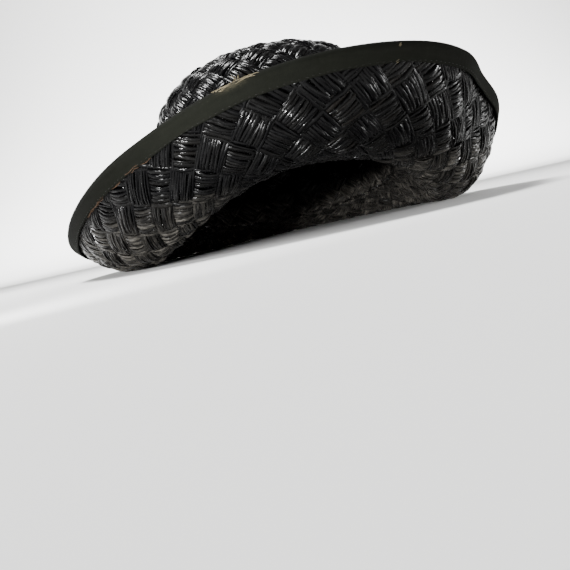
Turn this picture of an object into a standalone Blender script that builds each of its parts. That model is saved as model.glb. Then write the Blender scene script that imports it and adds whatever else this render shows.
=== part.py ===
"""A woman's wide-brimmed straw hat, in metres, +Z up, front towards -Y.

The hat stands on the low ring of its brim, which touches Z = 0 all round except at the front,
where the brim arches up over the forehead. The head opening tilts back with that arch.
Three pieces: the crown, the brim and the ribbon that is folded over the brim's edge.
Crown and brim are modelled from the face next to the head, and their wall grows away from it.
"""

from collections import namedtuple
from math import atan2, cos, hypot, pi, radians, sin, tan

import bmesh
import bpy
from mathutils import Vector

# Head opening, inside the straw
HEAD_WIDTH = 0.165
HEAD_LENGTH = 0.193
HEAD_SHIFT = Vector((0.003, -0.006))
OPENING_HEIGHT = 0.026
OPENING_TILT = radians(9.0)

# Crown
CROWN_HEIGHT = 0.094

# Brim
BRIM_REACH = 0.170
EDGE_HEIGHT = 0.086
EDGE_PULL = 1.15
OPENING_PULL = 1.3
FRONT_ARCH_RISE = 0.0415
FRONT_ARCH_ANGLE = radians(10.0)
FRONT_ARCH_HALF_ANGLE = radians(84.0)
REST_BAND = 0.006

# The dent in the right front of the brim's edge
DENT_ANGLE = radians(60.0)
DENT_HALF_ANGLE = radians(16.0)
DENT_DEPTH = 0.004

# Walls, ribbon and clearance
STRAW_WALL = 0.0026
RIBBON_WALL = 0.001
RIBBON_WIDTH = 0.008
SEWING_GAP = 0.0004

# Mesh fineness
STEPS_AROUND = 84
CROWN_STEPS = 12
BRIM_INNER_STEPS = 3
BRIM_OUTER_STEPS = 5
RIBBON_FACE_STEPS = 2
RIBBON_FOLD_STEPS = 4

# Crown outline from the opening to the tip: shares of CROWN_HEIGHT and of the opening's size
CrownRow = namedtuple("CrownRow", "height width")
CROWN_ROWS = (
    CrownRow(0.00, 1.000),
    CrownRow(0.20, 1.035),
    CrownRow(0.42, 1.055),
    CrownRow(0.62, 1.035),
    CrownRow(0.78, 0.960),
    CrownRow(0.90, 0.810),
    CrownRow(0.965, 0.600),
    CrownRow(0.992, 0.330),
    CrownRow(1.00, 0.000),
)

# Brim sections every 30 degrees from the front towards +X.
# reach: the edge's radius as a share of BRIM_REACH. rise: its height as a share of EDGE_HEIGHT.
# low: where the section is lowest, as a share of the way out. steep: its slope at the edge in degrees.
BrimRow = namedtuple("BrimRow", "reach rise low steep")
BRIM_ROWS = (
    BrimRow(0.975, 0.99, 0.30, 54),
    BrimRow(1.000, 1.00, 0.32, 58),
    BrimRow(0.955, 0.85, 0.38, 72),
    BrimRow(0.970, 0.51, 0.46, 70),
    BrimRow(1.020, 0.27, 0.50, 42),
    BrimRow(1.045, 0.29, 0.50, 40),
    BrimRow(1.050, 0.33, 0.48, 44),
    BrimRow(1.055, 0.25, 0.50, 36),
    BrimRow(1.060, 0.15, 0.52, 24),
    BrimRow(1.000, 0.27, 0.48, 44),
    BrimRow(0.940, 0.53, 0.40, 65),
    BrimRow(0.945, 0.78, 0.30, 55),
)


def between(before, start, end, after, t):
    """A smooth step from start to end that also heeds the values before and after them."""
    enter = (end - before) / 2
    leave = (after - start) / 2
    return curve(start, enter, end, leave, t)


def curve(start, leave, end, arrive, t):
    """The cubic from start to end with these rates of change at its two ends."""
    return (
        start * (2 * t**3 - 3 * t**2 + 1)
        + leave * (t**3 - 2 * t**2 + t)
        + end * (3 * t**2 - 2 * t**3)
        + arrive * (t**3 - t**2)
    )


def brim_row(angle):
    """The brim's section at any angle, read smoothly from the rows around it."""
    place = (angle / (2 * pi)) % 1.0 * len(BRIM_ROWS)
    first = int(place)
    rows = [BRIM_ROWS[(first + step) % len(BRIM_ROWS)] for step in (-1, 0, 1, 2)]
    return BrimRow(*(between(*column, place - first) for column in zip(*rows)))


def crown_row(share):
    """The crown's outline at a share of the way from the opening to the tip."""
    last = len(CROWN_ROWS) - 1
    first = min(int(share * last), last - 1)
    rows = [CROWN_ROWS[min(max(first + step, 0), last)] for step in (-1, 0, 1, 2)]
    return CrownRow(*(between(*column, share * last - first) for column in zip(*rows)))


def bump(angle, middle, half_angle):
    """1 at the middle angle, fading smoothly to 0 at half_angle to either side."""
    off = abs(atan2(sin(angle - middle), cos(angle - middle)))
    return cos(pi / 2 * min(off / half_angle, 1.0)) ** 2


def opening_radius(angle):
    half_width = HEAD_WIDTH / 2
    half_length = HEAD_LENGTH / 2
    return half_width * half_length / hypot(half_length * sin(angle), half_width * cos(angle))


def brim_section(angle):
    """The fixed points and end slopes of the brim's underside at an angle, as (radius, height)."""
    row = brim_row(angle)
    opening_slope = tan(OPENING_TILT) * cos(angle)
    inner_radius = opening_radius(angle)
    inner = Vector((inner_radius, OPENING_HEIGHT + opening_slope * inner_radius))
    reach = BRIM_REACH * row.reach - DENT_DEPTH * bump(angle, DENT_ANGLE, DENT_HALF_ANGLE)
    edge = Vector((reach, EDGE_HEIGHT * row.rise))
    low_radius = inner.x + (edge.x - inner.x) * row.low
    low_height = FRONT_ARCH_RISE * bump(angle, FRONT_ARCH_ANGLE, FRONT_ARCH_HALF_ANGLE)
    low_in = Vector((low_radius - REST_BAND / 2, low_height))
    low_out = Vector((low_radius + REST_BAND / 2, low_height))
    leave = Vector((1.0, opening_slope)).normalized() * (low_in - inner).length * OPENING_PULL
    arrive = Vector((cos(radians(row.steep)), sin(radians(row.steep))))
    return inner, low_in, low_out, edge, leave, arrive * (edge - low_out).length * EDGE_PULL


def brim_point(angle, share):
    """The brim's underside: share 0 at the opening, 1 to 2 across the rest band, 3 at the edge."""
    inner, low_in, low_out, edge, leave, arrive = brim_section(angle)
    level = Vector((1.0, 0.0))
    if share <= 1:
        flat = curve(inner, leave, low_in, level * (low_in - inner).length, share)
    elif share <= 2:
        flat = low_in.lerp(low_out, share - 1)
    else:
        flat = curve(low_out, level * (edge - low_out).length, edge, arrive, share - 2)
    return Vector(
        (HEAD_SHIFT.x + flat.x * sin(angle), HEAD_SHIFT.y - flat.x * cos(angle), flat.y)
    )


def crown_point(angle, share):
    """The crown's inside, upright on the tilted opening: share 0 at the opening, 1 at the tip."""
    row = crown_row(share)
    radius = opening_radius(angle) * row.width
    across = radius * sin(angle)
    ahead = radius * cos(angle)
    lift = STRAW_WALL + SEWING_GAP + CROWN_HEIGHT * row.height
    return Vector(
        (
            HEAD_SHIFT.x + across,
            HEAD_SHIFT.y - ahead + lift * sin(OPENING_TILT),
            OPENING_HEIGHT + ahead * tan(OPENING_TILT) + lift * cos(OPENING_TILT),
        )
    )


def ribbon_share(angle, inset):
    """The brim share that lies this far in from the edge."""
    arrive = brim_section(angle)[5]
    return 3 - inset / arrive.length


def brim_share(angle, step):
    """The brim share of each mesh row; the last rows are those of the ribbon."""
    if step <= BRIM_INNER_STEPS:
        return step / BRIM_INNER_STEPS
    step -= BRIM_INNER_STEPS + 1
    ribbon_foot = ribbon_share(angle, RIBBON_WIDTH)
    if step <= BRIM_OUTER_STEPS:
        return 2 + (ribbon_foot - 2) * step / BRIM_OUTER_STEPS
    step -= BRIM_OUTER_STEPS
    return ribbon_foot + (3 - ribbon_foot) * step / RIBBON_FACE_STEPS


def brim_frame(angle, share):
    """A point of the brim's underside, the way out across the brim, and the way up from it."""
    tick = 1e-4
    point = brim_point(angle, share)
    along = brim_point(angle + tick, share) - brim_point(angle - tick, share)
    outward = point - brim_point(angle, share - tick)
    up = outward.cross(along).normalized()
    return point, along.cross(up).normalized(), up


def ribbon_point(angle, step):
    """The ribbon's inner face: in under the brim, round the edge and back over the top."""
    under = -SEWING_GAP
    over = STRAW_WALL + SEWING_GAP
    if step <= RIBBON_FACE_STEPS:
        inset = RIBBON_WIDTH * (1 - step / RIBBON_FACE_STEPS)
        point, _, up = brim_frame(angle, ribbon_share(angle, inset))
        return point + up * under
    step -= RIBBON_FACE_STEPS
    if step < RIBBON_FOLD_STEPS:
        turn = pi * step / RIBBON_FOLD_STEPS
        point, outward, up = brim_frame(angle, 3.0)
        radius = (over - under) / 2
        return point + up * (STRAW_WALL / 2 - radius * cos(turn)) + outward * radius * sin(turn)
    step -= RIBBON_FOLD_STEPS
    inset = RIBBON_WIDTH * step / RIBBON_FACE_STEPS
    point, _, up = brim_frame(angle, ribbon_share(angle, inset))
    return point + up * over


def ring_sheet(steps_up, point_at):
    """A sheet closed round the head, with point_at(angle, step) placing each row of its grid."""
    bm = bmesh.new()
    bmesh.ops.create_grid(bm, x_segments=STEPS_AROUND, y_segments=steps_up, size=0.5)
    for vert in bm.verts:
        angle = 2 * pi * (vert.co.x + 0.5)
        vert.co = point_at(angle, round((vert.co.y + 0.5) * steps_up))
    bmesh.ops.remove_doubles(bm, verts=bm.verts, dist=1e-6)
    return bm


def add_piece(name, bm, wall, grow, material, collection):
    """Turn a sheet into a named solid whose wall grows with (1) or against (-1) its normals."""
    mesh = bpy.data.meshes.new(name)
    for face in bm.faces:
        face.smooth = True
    bm.to_mesh(mesh)
    bm.free()
    mesh.materials.append(material)
    piece = bpy.data.objects.new(name, mesh)
    collection.objects.link(piece)
    shell = piece.modifiers.new("Wall", "SOLIDIFY")
    shell.thickness = wall
    shell.offset = grow
    shell.use_even_offset = True
    return piece


def add_material(name, colour, roughness):
    material = bpy.data.materials.new(name)
    material.use_nodes = True
    surface = material.node_tree.nodes["Principled BSDF"]
    surface.inputs["Base Color"].default_value = (*colour, 1.0)
    surface.inputs["Roughness"].default_value = roughness
    surface.inputs["Metallic"].default_value = 0.0
    return material


def main():
    for old in list(bpy.data.objects):
        bpy.data.objects.remove(old)
    hat = bpy.data.collections.new("straw_hat")
    bpy.context.scene.collection.children.link(hat)

    straw = add_material("black_straw", (0.012, 0.013, 0.015), 0.3)
    ribbon = add_material("charcoal_ribbon", (0.035, 0.038, 0.038), 0.8)

    crown_sheet = ring_sheet(CROWN_STEPS, lambda angle, step: crown_point(angle, step / CROWN_STEPS))
    add_piece("crown", crown_sheet, STRAW_WALL, 1, straw, hat)

    brim_steps = BRIM_INNER_STEPS + 1 + BRIM_OUTER_STEPS + RIBBON_FACE_STEPS
    brim_sheet = ring_sheet(brim_steps, lambda angle, step: brim_point(angle, brim_share(angle, step)))
    add_piece("brim", brim_sheet, STRAW_WALL, -1, straw, hat)

    ribbon_sheet = ring_sheet(2 * RIBBON_FACE_STEPS + RIBBON_FOLD_STEPS, ribbon_point)
    add_piece("edge_binding", ribbon_sheet, RIBBON_WALL, 1, ribbon, hat)


main()
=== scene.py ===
from math import pi, radians, tan

import bmesh
import bpy
import numpy as np
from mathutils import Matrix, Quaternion, Vector


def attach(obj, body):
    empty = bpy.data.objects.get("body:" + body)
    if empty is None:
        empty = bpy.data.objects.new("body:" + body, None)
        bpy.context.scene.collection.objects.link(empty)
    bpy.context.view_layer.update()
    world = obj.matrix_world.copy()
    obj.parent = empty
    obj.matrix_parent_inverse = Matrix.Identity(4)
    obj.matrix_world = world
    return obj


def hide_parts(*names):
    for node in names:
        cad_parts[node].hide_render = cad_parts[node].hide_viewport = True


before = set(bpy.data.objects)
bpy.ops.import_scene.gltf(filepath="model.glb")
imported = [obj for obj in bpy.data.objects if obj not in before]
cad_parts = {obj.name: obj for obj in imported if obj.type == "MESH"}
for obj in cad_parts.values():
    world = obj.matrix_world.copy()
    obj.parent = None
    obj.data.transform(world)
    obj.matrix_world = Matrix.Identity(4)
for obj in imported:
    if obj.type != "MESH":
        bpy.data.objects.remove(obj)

# A black woven straw hat: metres, +Z up, front towards -Y, standing on Z = 0
scene = bpy.context.scene
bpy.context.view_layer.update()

# The hat's form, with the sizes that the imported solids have
hat = {
    "headWidth": 0.165,
    "headLength": 0.193,
    "headShift": (0.003, -0.006),
    "openingHeight": 0.026,
    "openingTilt": radians(9.0),
    "openingPull": 1.3,
    "crownHeight": 0.094,
    "crownLift": 0.003,            # the crown starts this far above the brim's underside
    "brimReach": 0.170,
    "edgeHeight": 0.086,
    "edgePull": 1.15,
    "archRise": 0.0415,
    "archAngle": radians(10.0),
    "archHalfAngle": radians(84.0),
    "restBand": 0.006,
    "dentAngle": radians(60.0),
    "dentHalfAngle": radians(16.0),
    "dentDepth": 0.004,
    "wall": 0.0026,
    # height and width, as shares of the crown's height and of the opening
    "crownRows": (
        (0.00, 1.000), (0.20, 1.035), (0.42, 1.055), (0.62, 1.035), (0.78, 0.960),
        (0.90, 0.810), (0.965, 0.600), (0.992, 0.330), (1.00, 0.000),
    ),
    # reach, rise, low and steep, every 30 degrees from the front towards +X
    "brimRows": (
        (0.975, 0.99, 0.30, 54), (1.000, 1.00, 0.32, 58), (0.955, 0.85, 0.38, 72),
        (0.970, 0.51, 0.46, 70), (1.020, 0.27, 0.50, 42), (1.045, 0.29, 0.50, 40),
        (1.050, 0.33, 0.48, 44), (1.055, 0.25, 0.50, 36), (1.060, 0.15, 0.52, 24),
        (1.000, 0.27, 0.48, 44), (0.940, 0.53, 0.40, 65), (0.945, 0.78, 0.30, 55),
    ),
}


def curve(start, leave, end, arrive, t):
    return (
        start * (2 * t**3 - 3 * t**2 + 1) + leave * (t**3 - 2 * t**2 + t)
        + end * (3 * t**2 - 2 * t**3) + arrive * (t**3 - t**2)
    )


def readRows(rows, place, closed):  # a smooth reading of a table between its rows
    rows = np.array(rows)
    count = len(rows)
    first = np.clip(np.floor(place), 0, count - (1 if closed else 2)).astype(int)
    picks = [first + step for step in (-1, 0, 1, 2)]
    picks = [pick % count if closed else np.clip(pick, 0, count - 1) for pick in picks]
    before, start, end, after = (rows[pick] for pick in picks)
    read = curve(start, (end - before) / 2, end, (after - start) / 2, (place - first)[..., None])
    return np.moveaxis(read, -1, 0)


def bump(angle, middle, halfAngle):
    off = np.abs((angle - middle + pi) % (2 * pi) - pi)
    return np.cos(pi / 2 * np.minimum(off / halfAngle, 1.0)) ** 2


def openingRadius(angle):
    halfWidth, halfLength = hat["headWidth"] / 2, hat["headLength"] / 2
    return halfWidth * halfLength / np.hypot(halfLength * np.sin(angle), halfWidth * np.cos(angle))


def ease(x):  # 0 to 1, smooth at both ends
    x = np.clip(x, 0.0, 1.0)
    return x * x * (3 - 2 * x)


def brimAt(angle, share):  # the underside: share 0 at the opening, 1 to 2 on the floor, 3 at the edge
    turned = angle / (2 * pi) % 1 * len(hat["brimRows"])
    reachShare, rise, low, steep = readRows(hat["brimRows"], turned, True)
    slope = tan(hat["openingTilt"]) * np.cos(angle)
    innerR = openingRadius(angle)
    innerZ = hat["openingHeight"] + slope * innerR
    dent = hat["dentDepth"] * bump(angle, hat["dentAngle"], hat["dentHalfAngle"])
    edgeR = hat["brimReach"] * reachShare - dent
    edgeZ = hat["edgeHeight"] * rise
    lowR = innerR + (edgeR - innerR) * low
    lowZ = hat["archRise"] * bump(angle, hat["archAngle"], hat["archHalfAngle"])
    half = hat["restBand"] / 2
    inLength = np.hypot(lowR - half - innerR, lowZ - innerZ)
    outLength = np.hypot(edgeR - lowR - half, edgeZ - lowZ)
    tip = np.sqrt(1 + slope**2)
    pull = inLength * hat["openingPull"] / tip
    steep = np.radians(steep)
    push = outLength * hat["edgePull"]
    inner, middle, outer = np.minimum(share, 1), np.clip(share - 1, 0, 1), share - 2
    radius = np.where(
        share <= 1, curve(innerR, pull, lowR - half, inLength, inner),
        np.where(share <= 2, lowR + half * (2 * middle - 1),
                 curve(lowR + half, outLength, edgeR, push * np.cos(steep), outer)))
    height = np.where(
        share <= 1, curve(innerZ, pull * slope, lowZ, 0.0, inner),
        np.where(share <= 2, lowZ, curve(lowZ, 0.0, edgeZ, push * np.sin(steep), outer)))
    shiftX, shiftY = hat["headShift"]
    return np.stack([shiftX + radius * np.sin(angle), shiftY - radius * np.cos(angle), height], -1)


def crownAt(angle, share):  # the inside: share 0 at the opening, 1 at the tip
    height, width = readRows(hat["crownRows"], share * (len(hat["crownRows"]) - 1), False)
    radius = openingRadius(angle) * width
    ahead = radius * np.cos(angle)
    lift = hat["crownLift"] + hat["crownHeight"] * height
    tilt = hat["openingTilt"]
    shiftX, shiftY = hat["headShift"]
    return np.stack([
        shiftX + radius * np.sin(angle),
        shiftY - ahead + lift * np.sin(tilt),
        hat["openingHeight"] + ahead * np.tan(tilt) + lift * np.cos(tilt)], -1)


def readEven(table, angle, even):
    x = angle / (2 * pi) % 1 * (len(table) - 1)
    y = even * (table.shape[1] - 1)
    i = np.minimum(x.astype(int), len(table) - 2)
    j = np.clip(np.floor(y), 0, table.shape[1] - 2).astype(int)
    fx, fy = x - i, y - j
    return ((table[i, j] * (1 - fy) + table[i, j + 1] * fy) * (1 - fx)
            + (table[i + 1, j] * (1 - fy) + table[i + 1, j + 1] * fy) * fx)


def spreadEvenly(surface, start, end, byRadius, turns=361, steps=193):  # a table of shares for even steps
    around, across = np.linspace(0, 2 * pi, turns), np.linspace(start, end, steps)
    points = surface(*np.meshgrid(around, across, indexing="ij"))
    lengths = np.linalg.norm(np.diff(points, axis=1), axis=2)
    if byRadius:
        middle = (points[:, 1:] + points[:, :-1]) / 2 - np.array([*hat["headShift"], 0.0])
        lengths = lengths / np.hypot(middle[..., 0], middle[..., 1])
    run = np.concatenate([np.zeros((turns, 1)), np.cumsum(lengths, 1)], 1)
    even = np.linspace(0, 1, steps)
    return np.array([np.interp(even, row / row[-1], across) for row in run]), run[:, -1]


# The weave. Bands of straws cross on a grid of diamonds, so many round the brim and round the crown.
weave = {
    "brimRound": 36,
    "crownRound": 24,
    "sideRows": 3.5,               # rows of diamonds from the opening to the crown's shoulder
    "shoulder": 0.56,              # where the crown's side turns into its tip, as a share of its height
    "straws": 12,                  # in each band
    "amplitude": 0.0019,           # how far a band rises and dips
    "flatness": 0.60,              # 1 for a plain wave, towards 0 for flat-topped patches
    "dome": 0.90,                  # how far a band's outer straws lie lower than its middle ones
    "pinch": 0.01,                 # how far a band narrows where it dips
    "spread": 1.20,                # over 1, neighbouring bands overlap
    "bandSway": 0.04,              # sideways wander of a band, in bands
    "strawSway": 0.55,             # and of a straw, in straws
    "strawWidth": 1.80,            # in straws, so that neighbours overlap
    "crownWider": 1.15,            # the crown's straws lie closer still
    "strawThick": 0.0011,
    "heave": 0.00042,              # how far a straw rises and dips by itself
    "tilt": 0.55,                  # and leans to a side, in straw thicknesses
    "middle": 0.0019,              # the weave's middle above the modelled face
    "foldSize": 0.30,              # the turn between crown and brim, in diamonds
    "brimFold": (0.0023, 0.0023),  # how far that turn stands out and up, on the brim's side
    "crownFold": (0.0007, 0.001),
    "edgeShort": 0.03,             # straws end this many diamonds before the edge, under the ribbon
    "edgeCalm": 0.25,              # the share of the amplitude that is left there
    "turnCalm": 0.62,              # and where the weave turns to the crown
    "floorGap": 0.0002,            # the lowest straws lie this far above the floor
    "sides": 6,                    # of each straw
    "brimSteps": 4.5,      # along a straw, for each band that it crosses
    "crownSteps": 5.5,
    "mapAlong": 20.0,              # the size of the pattern on a straw, for each band that it crosses
    "mapAcross": 2.2,
    "seed": 7,
}

brimShares, brimRun = spreadEvenly(brimAt, 0.0, 3.0, True)
sideShares = spreadEvenly(crownAt, 0.0, weave["shoulder"], True)[0]
tipShares = spreadEvenly(crownAt, 1.0, weave["shoulder"], False)[0]


def brimRows(angle):  # rows of diamonds between the opening and the edge
    around = np.linspace(0, 2 * pi, len(brimRun))
    return np.interp(angle % (2 * pi), around, brimRun) * weave["brimRound"] / (2 * pi)


def openingTurn(points, angle, rowsAway, across, up):  # rounds the turn where crown and brim meet
    fade = np.clip(1 - rowsAway / weave["foldSize"], 0, 1)[..., None] ** 2
    tilt = hat["openingTilt"]
    outward = np.stack([np.sin(angle), -np.cos(angle), np.cos(angle) * np.tan(tilt)], -1)
    axis = np.array([0.0, np.sin(tilt), np.cos(tilt)])
    return points + fade * (outward * across + axis * up)


def brimPath(lean, lane, travel, home):  # a band's lane and the way along it, turned into a place on the brim
    u = (lane + travel) / 2
    v = (lane - travel) / 2 * lean
    angle = 2 * pi * u / weave["brimRound"]
    points = brimAt(angle, readEven(brimShares, angle, v / brimRows(angle)))
    return openingTurn(points, angle, np.maximum(v, 0), *weave["brimFold"])


def brimEnds(lean, lane):  # the travel at the opening and at the edge
    v = np.linspace(0, 12, 1200)
    past = v >= brimRows(2 * pi * (lane - lean * v) / weave["brimRound"]) - weave["edgeShort"]
    return lane, lane - 2 * v[np.argmax(past)] * lean


def brimCalm(lean, lane, travel):  # flatter under the ribbon and where the weave turns to the crown
    v = (lane - travel) / 2 * lean
    toEdge = brimRows(pi * (lane + travel) / weave["brimRound"]) - v
    edgeCalm, turnCalm = weave["edgeCalm"], weave["turnCalm"]
    atEdge = edgeCalm + (1 - edgeCalm) * ease((toEdge - 0.25) / 0.3)
    return atEdge * (turnCalm + (1 - turnCalm) * ease(v / 3))


def crownPath(lean, lane, travel, home):  # over the tip and down both sides, in the half it began in
    half = weave["crownRound"] / 8     # the tip is a square of diamonds, from -half to half
    part = np.where(home >= 0, 1.0, -1.0)
    reach = 2 * half - lane * part
    onTip = np.abs(travel) <= reach
    x, y = (lane + travel) / 2 / half, (lane - travel) / 2 / half
    x, y = np.where(onTip, x, 0.0), np.where(onTip, y, 0.0)
    tipX, tipY = x * np.sqrt(1 - y * y / 2), y * np.sqrt(1 - x * x / 2)
    down = np.maximum(np.abs(travel) - reach, 0) / 2
    v = weave["sideRows"] - down
    u = np.where(travel > 0, half + lane - part * down, 5 * half - lane + part * down)
    # towards the shoulder the side's diamonds meet the square tip
    side = np.round(u / (2 * half))
    square = pi / 2 * side + np.arcsin(np.clip((u - 2 * half * side) / half, -1, 1) / np.sqrt(2))
    plain = 2 * pi * u / weave["crownRound"]
    sideAngle = plain + (square - plain) * np.clip(v / weave["sideRows"], 0, 1) ** 2
    angle = np.where(onTip, np.arctan2(tipX, -tipY), sideAngle)
    angle = angle if lean > 0 else pi - angle
    share = np.where(
        onTip, readEven(tipShares, angle, np.hypot(tipX, tipY)),
        readEven(sideShares, angle, v / weave["sideRows"]))
    rowsAway = np.where(onTip, 2 * weave["sideRows"], np.maximum(v, 0))
    return openingTurn(crownAt(angle, share), angle, rowsAway, *weave["crownFold"])


def crownEnds(lean, lane):
    end = weave["crownRound"] / 4 - abs(lane) + 2 * weave["sideRows"]
    return -end, end


def crownCalm(lean, lane, travel):  # the same all over
    return np.ones_like(lane)


def faceAway(path, lean, lane, travel, home, above):  # places on a path, and the way out of the straw there
    step = 0.004
    along = path(lean, lane, travel + step, home) - path(lean, lane, travel - step, home)
    across = path(lean, lane + step, travel, home) - path(lean, lane - step, travel, home)
    normal = np.cross(along, across)
    normal /= np.linalg.norm(normal, axis=-1, keepdims=True)
    points = path(lean, lane, travel, home)
    away = np.sum(normal * (points - above), -1, keepdims=True)
    return points, normal * np.where(away < 0, -1.0, 1.0)


def strawTemplate(steps, sides):  # a straight straw, one unit long and wide
    bm = bmesh.new()
    bmesh.ops.create_cone(bm, cap_ends=True, segments=sides, radius1=0.5, radius2=0.5, depth=1.0)
    lengthwise = [edge for edge in bm.edges if abs(edge.verts[0].co.z - edge.verts[1].co.z) > 0.5]
    bmesh.ops.subdivide_edges(bm, edges=lengthwise, cuts=steps - 1)
    for face in bm.faces:
        face.smooth = True
    mesh = bpy.data.meshes.new("straw_template")
    bm.to_mesh(mesh)
    bm.free()
    return mesh


def joinedTubes(name, counts, sides):  # straight straws of so many steps each, in one mesh
    templates = {steps: strawTemplate(steps, sides) for steps in sorted(set(counts))}
    bm = bmesh.new()
    for steps in counts:
        bm.from_mesh(templates[steps])
    mesh = bpy.data.meshes.new(name)
    bm.to_mesh(mesh)
    bm.free()
    sizes = [len(templates[steps].vertices) for steps in counts]
    for template in templates.values():
        bpy.data.meshes.remove(template)
    places = np.empty(len(mesh.vertices) * 3)
    mesh.vertices.foreach_get("co", places)
    return mesh, sizes, places.reshape(-1, 3)


def placePiece(name, mesh, places):  # puts the mesh's points in their places and makes it a piece
    mesh.vertices.foreach_set("co", places.ravel())
    mesh.update()
    bm = bmesh.new()
    bm.from_mesh(mesh)
    bmesh.ops.recalc_face_normals(bm, faces=bm.faces)
    bm.to_mesh(mesh)
    bm.free()
    piece = bpy.data.objects.new(name, mesh)
    scene.collection.objects.link(piece)
    return piece


def addMap(mesh, name, values):  # a number or three numbers for each point
    kind, part = ("FLOAT", "value") if values.ndim == 1 else ("FLOAT_VECTOR", "vector")
    mesh.attributes.new(name, kind, "POINT").data.foreach_set(part, values.ravel())


def wander(travel, phases, slow, fast):  # a smooth wave with a smaller, quicker one on it
    return np.sin(travel * slow + phases[0]) * 0.6 + np.sin(travel * fast + phases[1]) * 0.4


def weavePiece(name, path, ends, calm, lean, lanes, cellSteps, above):
    bounds = np.array([ends(lean, lane) for lane in lanes])
    counts = np.maximum(4, np.round(np.abs(bounds[:, 1] - bounds[:, 0]) * cellSteps)).astype(int)
    mesh, sizes, tubes = joinedTubes(name, counts, weave["sides"])
    straw = np.repeat(np.arange(len(lanes)), sizes)
    side, thick, along = tubes.T
    lane = np.array(lanes)[straw]
    travel = bounds[straw, 0] + (bounds[straw, 1] - bounds[straw, 0]) * (along + 0.5)

    rng = np.random.default_rng(weave["seed"] + int(lean) + len(name))
    phase = rng.uniform(0, 2 * pi, (4, len(lanes)))[:, straw]
    luck = rng.normal(0, 1, (4, len(lanes)))[:, straw]
    bandTone = rng.uniform(0, 1, 200)[np.floor(lanes).astype(int) + 50]
    tone = (0.7 * rng.uniform(0, 1, len(lanes)) + 0.3 * bandTone)[straw]
    band = np.floor(lane)
    bandPhase = rng.uniform(0, 2 * pi, (2, 200))[:, band.astype(int) + 50]
    strawSway = wander(travel, phase[:2], 1.7, 4.3)
    bandSway = wander(travel, bandPhase, 1.1, 2.6)
    heave = wander(travel, phase[2:], 2.9, 7.7)
    wave = lean * np.sin(pi * travel) * np.where(band % 2 == 0, 1.0, -1.0)
    over = np.sign(wave) * np.abs(wave) ** weave["flatness"]
    inBand = (lane - band) * 2 - 1
    narrow = 1 - weave["pinch"] * (1 - over) / 2
    centre = band + (inBand * weave["spread"] * narrow + 1) / 2 + bandSway * weave["bandSway"]
    width = weave["strawWidth"] * (1 + 0.10 * luck[0]) * narrow
    width = width * weave["crownWider"] if name.startswith("crown") else width
    bentLane = centre + (strawSway * weave["strawSway"] + side * width) / weave["straws"]
    points, normal = faceAway(path, lean, bentLane, travel, lane, np.array(above))
    calmed = calm(lean, bentLane, travel)
    dome = 1 - weave["dome"] * np.abs(inBand) ** 3
    lift = weave["middle"] + calmed * weave["amplitude"] * over * dome * (1 + 0.08 * luck[1])
    lift += calmed * weave["heave"] * heave
    lift += thick * weave["strawThick"] * (1 + 0.12 * luck[2])
    lift += side * weave["strawThick"] * weave["tilt"] * luck[3] * calmed
    points = points + normal * lift[:, None]
    points[:, 2] = np.maximum(points[:, 2], weave["floorGap"])  # pressed flat where the hat stands
    # on each side the straws that run one way get a lower, darker tone than those that cross them
    tone = tone * (0.35 + 0.65 * ease(0.5 - lean * points[:, 0] / 0.08))
    # a map that follows each straw: along it, across it, and a number of its own
    travelled = np.abs(travel - bounds[straw, 0])
    own = np.stack([travelled * weave["mapAlong"], side * weave["mapAcross"], straw * 1.7], -1)
    addMap(mesh, "strawMap", own)
    addMap(mesh, "strawTone", tone)
    # where on its straw a point is: to a side, to the top, and how high the band lies
    addMap(mesh, "strawShape", np.stack([np.abs(side) * 2, thick * 2, over * dome], -1))
    piece = placePiece(name, mesh, points)
    print(name, sum(len(face.vertices) - 2 for face in mesh.polygons), "triangles")
    return piece


def laneList(first, bands):
    count = weave["straws"]
    return [first + band + (straw + 0.5) / count for band in range(bands) for straw in range(count)]


woven = []
crownLanes = laneList(-weave["crownRound"] // 4, weave["crownRound"] // 2)
for lean, side in ((1, "right"), (-1, "left")):
    half = weave["brimRound"] // 2
    for first, part in ((0, "_first_half"), (half, "_second_half")):
        woven.append(weavePiece(
            "brim_weave_" + side + part, brimPath, brimEnds, brimCalm, lean, laneList(first, half),
            weave["brimSteps"], (0, 0, -9)))
    woven.append(weavePiece(
        "crown_weave_" + side, crownPath, crownEnds, crownCalm, lean, crownLanes,
        weave["crownSteps"], (0, 0, 0.05)))
print("weave done")


# The ribbon, folded over the brim's edge
ribbon = {
    "width": 0.008,                # that shows on each face of the brim
    "thick": 0.0009,
    "under": -0.0004,              # its two faces, above the modelled underside of the brim
    "over": 0.0034,
    "aroundSteps": 720,
    "acrossSteps": 24,
    "waver": 0.0006,               # of the upper hem
    "hemPress": 0.0003,            # the hems lie this much closer, over hemWidth
    "hemWidth": 0.0016,
    "pucker": 0.00016,             # at the stitches, and how far in from the edge it fades
    "puckerFade": 0.005,
    "stitches": 268,
    "frayFrom": radians(350.5),    # where the ribbon has worn through on the edge
    "frayTo": radians(357.5),
    "frayHalfAngle": radians(4.4),
    "frayMiddle": 0.48,            # as shares of the ribbon's width
    "fraySpread": 0.06,
    "wornFrom": radians(304.0),    # rusty threads on the hem
    "wornTo": radians(333.0),
    "joinAngle": radians(24.8),
}
ribbonFold = pi * (ribbon["over"] - ribbon["under"]) / 2
ribbonSpan = 2 * ribbon["width"] + ribbonFold


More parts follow.
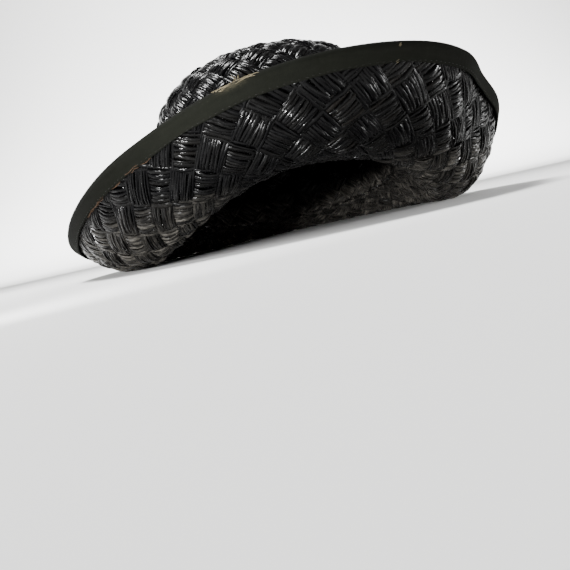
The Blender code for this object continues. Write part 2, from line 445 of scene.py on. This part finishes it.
def ribbonAt(angle, across, off=0.0):  # across in metres, from the hem under the brim to the one above
    width = ribbon["width"]
    inset = np.where(
        across < width, width - across, np.where(across < width + ribbonFold, 0, across - width - ribbonFold))
    edge, near, tick = 3.0, 0.02, 1e-4
    back = brimAt(angle, np.full_like(angle, edge)) - brimAt(angle, np.full_like(angle, edge - near))
    pace = np.linalg.norm(back, axis=-1) / near
    share = edge - inset / pace
    point = brimAt(angle, share)
    along = brimAt(angle + tick, share) - brimAt(angle - tick, share)
    outward = brimAt(angle, share) - brimAt(angle, share - tick)
    up = np.cross(outward, along)
    up /= np.linalg.norm(up, axis=-1, keepdims=True)
    outward = np.cross(along, up)
    outward /= np.linalg.norm(outward, axis=-1, keepdims=True)
    turn = np.clip((across - width) / ribbonFold, 0, 1) * pi
    middle = (ribbon["over"] + ribbon["under"]) / 2
    radius = (ribbon["over"] - ribbon["under"]) / 2 + off
    hem = ease(1 - np.minimum(across, ribbonSpan - across) / ribbon["hemWidth"])
    press = np.where(across < width, 1.0, -1.0) * hem * ribbon["hemPress"]
    drawn = 0.5 + 0.5 * np.sin(angle * 37 + 2 * np.sin(angle * 5))   # tighter in some places than in others
    fade = np.exp(-inset / ribbon["puckerFade"])
    ripple = ribbon["pucker"] * np.sin(angle * ribbon["stitches"]) * drawn * fade
    lift = middle - radius * np.cos(turn) + press + ripple
    return point + up * lift[:, None] + outward * (radius * np.sin(turn))[:, None]


bm = bmesh.new()
bmesh.ops.create_grid(bm, x_segments=ribbon["aroundSteps"], y_segments=ribbon["acrossSteps"], size=0.5)
flat = np.array([vert.co for vert in bm.verts])
angle, across = 2 * pi * (flat[:, 0] + 0.5), ribbonSpan * (flat[:, 1] + 0.5)
waver = ribbon["waver"] * (np.sin(angle * 9 + 1) + 0.6 * np.sin(angle * 23)) * (flat[:, 1] * 2) ** 3
frayed = bump(angle, (ribbon["frayFrom"] + ribbon["frayTo"]) / 2, ribbon["frayHalfAngle"])
worn = frayed * np.exp(-((across / ribbonSpan - ribbon["frayMiddle"]) / ribbon["fraySpread"]) ** 2)
# millimetres round the edge and across the ribbon, and how worn it is
ribbonMap = np.stack([angle * (1000 * hat["brimReach"]), across * 1000.0, worn], -1)
mapLayer = bm.verts.layers.float_vector.new("ribbonMap")
for vert, place, own in zip(bm.verts, ribbonAt(angle, np.clip(across + waver, 0, ribbonSpan)), ribbonMap):
    vert.co = place
    vert[mapLayer] = own
bmesh.ops.remove_doubles(bm, verts=bm.verts, dist=1e-6)
for face in bm.faces:
    face.smooth = True
ribbonMesh = bpy.data.meshes.new("ribbon")
bm.to_mesh(ribbonMesh)
bm.free()
ribbonPiece = bpy.data.objects.new("ribbon", ribbonMesh)
scene.collection.objects.link(ribbonPiece)
wall = ribbonPiece.modifiers.new("Wall", "SOLIDIFY")
wall.thickness = ribbon["thick"]
wall.offset = 1.0


def threadPiece(name, routes, thickness, sides):  # tubes along routes, each an array of points
    mesh, sizes, places = joinedTubes(name, [len(route) - 1 for route in routes], sides)
    first = 0
    for route, size in zip(routes, sizes):
        part = places[first:first + size].copy()
        ring = np.round((part[:, 2] + 0.5) * (len(route) - 1)).astype(int)
        forward = np.gradient(route, axis=0)
        forward /= np.linalg.norm(forward, axis=1, keepdims=True)
        side = np.cross(forward, (0.31, 0.22, 0.93))
        side /= np.linalg.norm(side, axis=1, keepdims=True)
        face = np.cross(side, forward)
        thinned = thickness * np.where((ring == 0) | (ring == len(route) - 1), 0.5, 1.0)[:, None]
        off = (side[ring] * part[:, :1] + face[ring] * part[:, 1:2]) * thinned
        places[first:first + size] = route[ring] + off
        first += size
    return placePiece(name, mesh, places)


# Stitches, and threads where the ribbon is worn: lengths in metres, reaches in radians
wear = {
    "seed": 11,
    "clear": 0.00005,              # between the ribbon's face and a thread on it
    "stitchThick": 0.0003,
    "stitchLength": 0.55,          # of the way to the next stitch
    "stitchDepth": np.array([-0.0004, 0.0, 0.00012, 0.0, -0.0004]),
    "stitchInset": 0.0013,         # from the hem
    "frays": 22,
    "frayThick": 0.00032,
    "frayReach": (0.006, 0.035),
    "frayAcross": (0.485, 0.016),  # middle and spread, as shares of the ribbon's width
    "looseEnds": 5,
    "looseFrom": 354.0,            # in degrees
    "looseTo": 355.6,
    "looseLength": (0.0015, 0.0036),
    "joinStitches": 6,
    "joinReach": 0.008,
    "wornThreads": 16,
    "wornThick": 0.00034,
    "wornReach": (0.02, 0.07),
}
rng = np.random.default_rng(wear["seed"])
onFace = ribbon["thick"] + wear["clear"]     # off the ribbon's modelled middle, onto its outer face
pitch = 2 * pi / ribbon["stitches"]
stitchRoutes = []
for stitch in range(ribbon["stitches"]):
    turns = (stitch + 0.06 * rng.normal()) * pitch + np.linspace(0, wear["stitchLength"], 5) * pitch
    inset = wear["stitchInset"] + 0.00012 * rng.normal() + np.zeros(5)
    stitchRoutes.append(ribbonAt(turns, inset, onFace + wear["stitchDepth"]))
stitchPiece = threadPiece("ribbon_stitches", stitchRoutes, wear["stitchThick"], 6)

frayRoutes = []
for thread in range(wear["frays"]):  # bare threads where the ribbon has worn through on the edge
    centre = rng.uniform(ribbon["frayFrom"], ribbon["frayTo"])
    reach = rng.uniform(*wear["frayReach"])
    turns = centre + np.linspace(-0.5, 0.5, 14) * reach * 2
    drift = rng.normal(0, 0.0002)
    wander = drift + 0.0003 * np.sin(np.linspace(0, rng.uniform(2, 6), 14) + rng.uniform(0, 6))
    across = ribbonSpan * rng.normal(*wear["frayAcross"]) + wander
    off = onFace + rng.uniform(-0.0001, 0.0003) - 0.0006 * np.abs(np.linspace(-1, 1, 14)) ** 6
    frayRoutes.append(ribbonAt(turns, across, off))
for thread in range(wear["looseEnds"]):  # loose ends that stand up from the worn place
    turn = radians(rng.uniform(wear["looseFrom"], wear["looseTo"]))
    root = ribbonAt(np.array([turn]), np.array([ribbonSpan * 0.52]), onFace)[0]
    t = np.linspace(0, 1, 10)[:, None]
    lean = np.array([rng.uniform(-0.4, 0.5), rng.uniform(-0.3, 0.3), 1.0])
    curl = np.array([rng.uniform(-1, 1), rng.uniform(-1, 1), 0.0]) * 0.0015
    straight = root + lean * rng.uniform(*wear["looseLength"]) * t
    frayRoutes.append(straight + curl * np.sin(t * rng.uniform(2, 4)) * t)
for step in range(wear["joinStitches"]):  # pale stitches where the ribbon's two ends are joined
    slant = np.array([-0.5, -0.2, 0.2, 0.5]) * wear["joinReach"]
    turns = ribbon["joinAngle"] + rng.normal(0, 0.003) + slant
    middle = ribbonSpan * (0.40 if step < wear["joinStitches"] // 2 else 0.03)
    across = middle + rng.normal(0, 0.0005) + np.array([-1, -0.3, 0.4, 1]) * 0.0004
    frayRoutes.append(ribbonAt(turns, across, onFace - wear["clear"]))
frayPiece = threadPiece("ribbon_frays", frayRoutes, wear["frayThick"], 5)

wornRoutes = []
for thread in range(wear["wornThreads"]):  # rusty threads along the hem at the left
    centre = rng.uniform(ribbon["wornFrom"], ribbon["wornTo"])
    turns = centre + np.linspace(-1, 1, 18) * rng.uniform(*wear["wornReach"])
    wander = 0.00035 * np.sin(np.linspace(0, rng.uniform(3, 9), 18) + rng.uniform(0, 6))
    across = rng.normal(0.0001, 0.0004) + wander
    wornRoutes.append(ribbonAt(turns, across, onFace - rng.uniform(0, 0.0006)))
wornPiece = threadPiece("ribbon_worn_hem", wornRoutes, wear["wornThick"], 5)
print("ribbon done")


# Finishes
finish = {
    "strawBlack": (0.0006, 0.0006, 0.0008, 1),
    "strawGrey": (0.0020, 0.0019, 0.0018, 1),
    "strawBrown": (0.0044, 0.0036, 0.0029, 1),
    "strawShine": (0.05, 0.22),
    "strawRoughness": (0.08, 0.34),
    # dust colours, painted paler as well to stand in for light on the low brim
    "dustAndLightDark": (0.030, 0.0290, 0.0265, 1),
    "dustAndLightPale": (0.720, 0.670, 0.585, 1),
    "dustAndLightTop": 0.039,              # the dust and painted light start below this height and are full at the next
    "dustAndLightFull": 0.006,
    "clothDark": (0.0035, 0.0038, 0.0028, 1),
    "clothPale": (0.0060, 0.0064, 0.0049, 1),
    "clothBare": (0.052, 0.047, 0.031, 1),
    "blackThread": (0.008, 0.008, 0.007, 1),
    "bareThread": (0.090, 0.076, 0.048, 1),
    "rustyThread": (0.045, 0.026, 0.015, 1),
}


def node(tree, kind, **values):
    made = tree.nodes.new(kind)
    for key, value in values.items():
        setattr(made, key, value)
    return made


def feed(tree, socket, value):  # a link from another node, or a value of the socket's own
    if isinstance(value, bpy.types.NodeSocket):
        tree.links.new(value, socket)
    else:
        socket.default_value = value


def newMaterial(name):
    material = bpy.data.materials.new(name)
    material.use_nodes = True
    return material, material.node_tree, material.node_tree.nodes["Principled BSDF"]


def mapRange(tree, value, fromMin, fromMax, toMin, toMax):
    made = node(tree, "ShaderNodeMapRange")
    for socket, number in zip(("From Min", "From Max", "To Min", "To Max"), (fromMin, fromMax, toMin, toMax)):
        made.inputs[socket].default_value = number
    feed(tree, made.inputs["Value"], value)
    return made.outputs["Result"]


def multiply(tree, first, second):
    made = node(tree, "ShaderNodeMath", operation="MULTIPLY")
    feed(tree, made.inputs[0], first)
    feed(tree, made.inputs[1], second)
    return made.outputs["Value"]


def mixColours(tree, factor, first, second):
    made = node(tree, "ShaderNodeMix", data_type="RGBA")
    for socket, value in ((0, factor), (6, first), (7, second)):
        feed(tree, made.inputs[socket], value)
    return made.outputs[2]


def mapOf(tree, name):
    return node(tree, "ShaderNodeAttribute", attribute_name=name).outputs["Vector"]


def splitAxes(tree, vector):
    made = node(tree, "ShaderNodeSeparateXYZ")
    feed(tree, made.inputs["Vector"], vector)
    return made.outputs


def noiseNodes(tree, vector, stretch, detail):  # noise, drawn out by a number for each axis
    mapping = node(tree, "ShaderNodeMapping")
    noise = node(tree, "ShaderNodeTexNoise")
    noise.inputs["Scale"].default_value = 1.0
    feed(tree, mapping.inputs["Vector"], vector)
    feed(tree, mapping.inputs["Scale"], stretch)
    feed(tree, noise.inputs["Vector"], mapping.outputs["Vector"])
    feed(tree, noise.inputs["Detail"], detail)
    return noise.outputs["Fac"]


def newGroup(name, takes, gives):  # sockets as name and kind
    group = bpy.data.node_groups.new(name, "ShaderNodeTree")
    for way, sockets in (("INPUT", takes), ("OUTPUT", gives)):
        for socket, kind in sockets:
            group.interface.new_socket(name=socket, in_out=way, socket_type="NodeSocket" + kind)
    return group, node(group, "NodeGroupInput").outputs, node(group, "NodeGroupOutput").inputs


stretched = (("Vector", "Vector"), ("Stretch", "Vector"), ("Detail", "Float"))
noiseGroup, takes, gives = newGroup("stretched_noise", stretched, (("Noise", "Float"),))
feed(noiseGroup, gives["Noise"], noiseNodes(noiseGroup, takes["Vector"], takes["Stretch"], takes["Detail"]))

grainGroup, takes, gives = newGroup(
    "grain", (*stretched, ("Strength", "Float"), ("Distance", "Float")), (("Normal", "Vector"),))
relief = node(grainGroup, "ShaderNodeBump")
ridges = noiseNodes(grainGroup, takes["Vector"], takes["Stretch"], takes["Detail"])
for name, value in (("Height", ridges), ("Strength", takes["Strength"]), ("Distance", takes["Distance"])):
    feed(grainGroup, relief.inputs[name], value)
feed(grainGroup, gives["Normal"], relief.outputs["Normal"])


def placeGroup(tree, group, *values):  # a group in a material, with the values of its inputs in their order
    made = node(tree, "ShaderNodeGroup", node_tree=group)
    for socket, value in zip(made.inputs, values):
        feed(tree, socket, value)
    return made.outputs[0]


def strawMaterial():
    material, tree, surface = newMaterial("black_straw")
    strawMap = mapOf(tree, "strawMap")
    strawTone = node(tree, "ShaderNodeAttribute", attribute_name="strawTone").outputs["Fac"]
    shape = splitAxes(tree, mapOf(tree, "strawShape"))
    place = splitAxes(tree, node(tree, "ShaderNodeTexCoord").outputs["Object"])
    patches = placeGroup(tree, noiseGroup, strawMap, (0.30, 0.9, 1.0), 3.0)
    clumps = noiseNodes(tree, strawMap, (0.08, 0.0, 0.20), 1.0)     # a few neighbours at a time
    clumped = mapRange(tree, clumps, 0.40, 0.60, 0.35, 1.0)
    # painted shade: straws are darkened down their sides and where their band dips under the crossing band,
    # standing in for the shade in these grooves
    paintedFlankShade = mapRange(tree, shape["X"], 0.55, 0.95, 1.0, 0.12)
    paintedDipShade = mapRange(tree, shape["Z"], -0.2, 0.7, 0.40, 1.0)
    under = mapRange(tree, shape["Y"], -0.2, 0.3, 1.0, 0.2)         # the pale dusty tint, with its painted light, is kept to the lower face of each straw, the brim's underside
    tones = node(tree, "ShaderNodeValToRGB")
    ramp = tones.color_ramp
    ramp.elements[0].color = finish["strawBlack"]
    ramp.elements[1].color = finish["strawBrown"]
    ramp.elements.new(0.75).color = finish["strawGrey"]
    feed(tree, tones.inputs["Fac"], strawTone)
    # partly dust, partly painted light: the low-hanging brim is tinted brown and painted paler, standing in
    # for the light that falls on it there
    low = mapRange(tree, place["Z"], finish["dustAndLightTop"], finish["dustAndLightFull"], 0.0, 1.0)
    spotty = mapRange(tree, patches, 0.35, 0.62, 1.0, 0.4)
    # painted shade times random clumps: it thins the dusty tint and lowers the specular level in the grooves
    # and dips
    paintedShadeAndClumps = multiply(tree, multiply(tree, paintedFlankShade, paintedDipShade), clumped)
    dustAndLight = multiply(tree, multiply(tree, low, spotty), multiply(tree, paintedShadeAndClumps, under))
    dustAndLightColour = mixColours(tree, strawTone, finish["dustAndLightDark"], finish["dustAndLightPale"])
    feed(tree, surface.inputs["Base Color"], mixColours(tree, dustAndLight, tones.outputs["Color"], dustAndLightColour))
    feed(tree, surface.inputs["Roughness"], mapRange(tree, patches, 0.40, 0.60, *finish["strawRoughness"]))
    feed(tree, surface.inputs["Specular IOR Level"], mapRange(tree, paintedShadeAndClumps, 0.0, 1.0, *finish["strawShine"]))
    feed(tree, surface.inputs["Normal"], placeGroup(
        tree, grainGroup, strawMap, (0.18, 1.9, 1.0), 2.0, 0.7, 0.0004))
    return material


def ribbonMaterial():
    material, tree, surface = newMaterial("charcoal_ribbon")
    ribbonMap = mapOf(tree, "ribbonMap")
    cloudy = placeGroup(tree, noiseGroup, ribbonMap, (0.09, 0.35, 0.0), 3.0)
    cloth = mixColours(tree, cloudy, finish["clothDark"], finish["clothPale"])
    threads = placeGroup(tree, noiseGroup, ribbonMap, (0.5, 5.0, 0.0), 2.0)
    worn = splitAxes(tree, ribbonMap)["Z"]
    bare = multiply(tree, worn, mapRange(tree, threads, 0.40, 0.58, 0.0, 1.0))
    feed(tree, surface.inputs["Base Color"], mixColours(tree, bare, cloth, finish["clothBare"]))
    feed(tree, surface.inputs["Normal"], placeGroup(
        tree, grainGroup, ribbonMap, (2.6, 0.5, 0.0), 2.0, 0.6, 0.0002))
    surface.inputs["Roughness"].default_value = 0.95
    surface.inputs["Specular IOR Level"].default_value = 0.04
    return material


def plainMaterial(name, colour, roughness):
    material, _, surface = newMaterial(name)
    surface.inputs["Base Color"].default_value = colour
    surface.inputs["Roughness"].default_value = roughness
    surface.inputs["Specular IOR Level"].default_value = 0.1
    return material


straw = strawMaterial()
for piece in woven:
    piece.data.materials.append(straw)
    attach(piece, "root")
    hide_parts(piece.name.split("_")[0])
ribbonPiece.data.materials.append(ribbonMaterial())
stitchPiece.data.materials.append(plainMaterial("black_thread", finish["blackThread"], 0.6))
frayPiece.data.materials.append(plainMaterial("bare_thread", finish["bareThread"], 0.8))
wornPiece.data.materials.append(plainMaterial("rusty_thread", finish["rustyThread"], 0.8))
for piece in (ribbonPiece, stitchPiece, frayPiece, wornPiece):
    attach(piece, "root")
    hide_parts("edge_binding")
print("finishes done")


# The studio: a pale floor that sweeps up behind, soft light, and the camera
studio = {
    "floorReach": 4.0,
    "sweep": 2.4,                  # the floor turns up into the backdrop with this radius
    "sweepSteps": 12,
    "wallHeight": 3.0,
    "floorColour": (0.86, 0.86, 0.85, 1),
    "skyStrength": 0.4,
    "eye": (-0.004, -0.50, 0.012),
    "aim": (-0.0142, 0.0, -0.0382),
    "lens": 39.76,
    "roll": radians(12.7),
    # name, place, aim, size, power and spread in degrees
    "lamps": (
        ("top", (-0.3, 0.0, 1.2), (0, 0, 0.05), (0.34, 0.34), 36.0, 180),
        ("left", (-0.9, 0.25, 0.16), (0, 0, 0.08), (0.10, 0.16), 1.5, 60),
        ("right", (0.52, -0.10, 0.04), (0.14, 0, 0.05), (0.05, 0.15), 0.55, 80),
        ("catch", (-0.18, -0.37, 0.03), (0.01, -0.13, 0.075), (0.03, 0.025), 0.44, 64),
        ("backdrop", (0, 1.8, 1.2), (0, 4.0, 0.6), (3.0, 1.0), 260.0, 180),
    ),
}

bm = bmesh.new()
reach, sweep = studio["floorReach"], studio["sweep"]
line = [bm.verts.new((-reach, -reach, 0)), bm.verts.new((-reach, reach - sweep, 0))]
for step in range(1, studio["sweepSteps"] + 1):
    turn = pi / 2 * step / studio["sweepSteps"]
    line.append(bm.verts.new((-reach, reach - sweep + sweep * np.sin(turn), sweep * (1 - np.cos(turn)))))
line.append(bm.verts.new((-reach, reach, studio["wallHeight"])))
edges = [bm.edges.new(pair) for pair in zip(line, line[1:])]
made = bmesh.ops.extrude_edge_only(bm, edges=edges)["geom"]
moved = [part for part in made if isinstance(part, bmesh.types.BMVert)]
bmesh.ops.translate(bm, verts=moved, vec=(2 * reach, 0, 0))
bmesh.ops.recalc_face_normals(bm, faces=bm.faces)
for face in bm.faces:
    face.smooth = True
floorMesh = bpy.data.meshes.new("studio_floor")
bm.to_mesh(floorMesh)
bm.free()
floor = bpy.data.objects.new("studio_floor", floorMesh)
floor.data.materials.append(plainMaterial("pale_floor", studio["floorColour"], 0.9))
scene.collection.objects.link(floor)

world = bpy.data.worlds.new("studio")
scene.world = world
world.use_nodes = True
sky = world.node_tree.nodes["Background"]
sky.inputs["Color"].default_value = (1, 1, 1, 1)
sky.inputs["Strength"].default_value = studio["skyStrength"]


def softLight(name, place, aim, size, power, spread):
    light = bpy.data.lights.new(name, "AREA")
    light.shape = "RECTANGLE"
    light.size, light.size_y = size
    light.energy = power
    light.spread = radians(spread)
    lamp = bpy.data.objects.new(name, light)
    lamp.location = place
    lamp.rotation_mode = "QUATERNION"
    lamp.rotation_quaternion = (Vector(aim) - Vector(place)).to_track_quat("-Z", "Y")
    lamp.visible_camera = False
    scene.collection.objects.link(lamp)


for lamp in studio["lamps"]:
    softLight(*lamp)

cameraData = bpy.data.cameras.new("camera")
cameraData.sensor_width = 36.0
cameraData.lens = studio["lens"]
cameraData.clip_start = 0.01
camera = bpy.data.objects.new("camera", cameraData)
camera.location = studio["eye"]
camera.rotation_mode = "QUATERNION"
look = (Vector(studio["aim"]) - Vector(studio["eye"])).to_track_quat("-Z", "Y")
camera.rotation_quaternion = look @ Quaternion((0, 0, 1), -studio["roll"])
scene.collection.objects.link(camera)
scene.camera = camera
print("studio done")
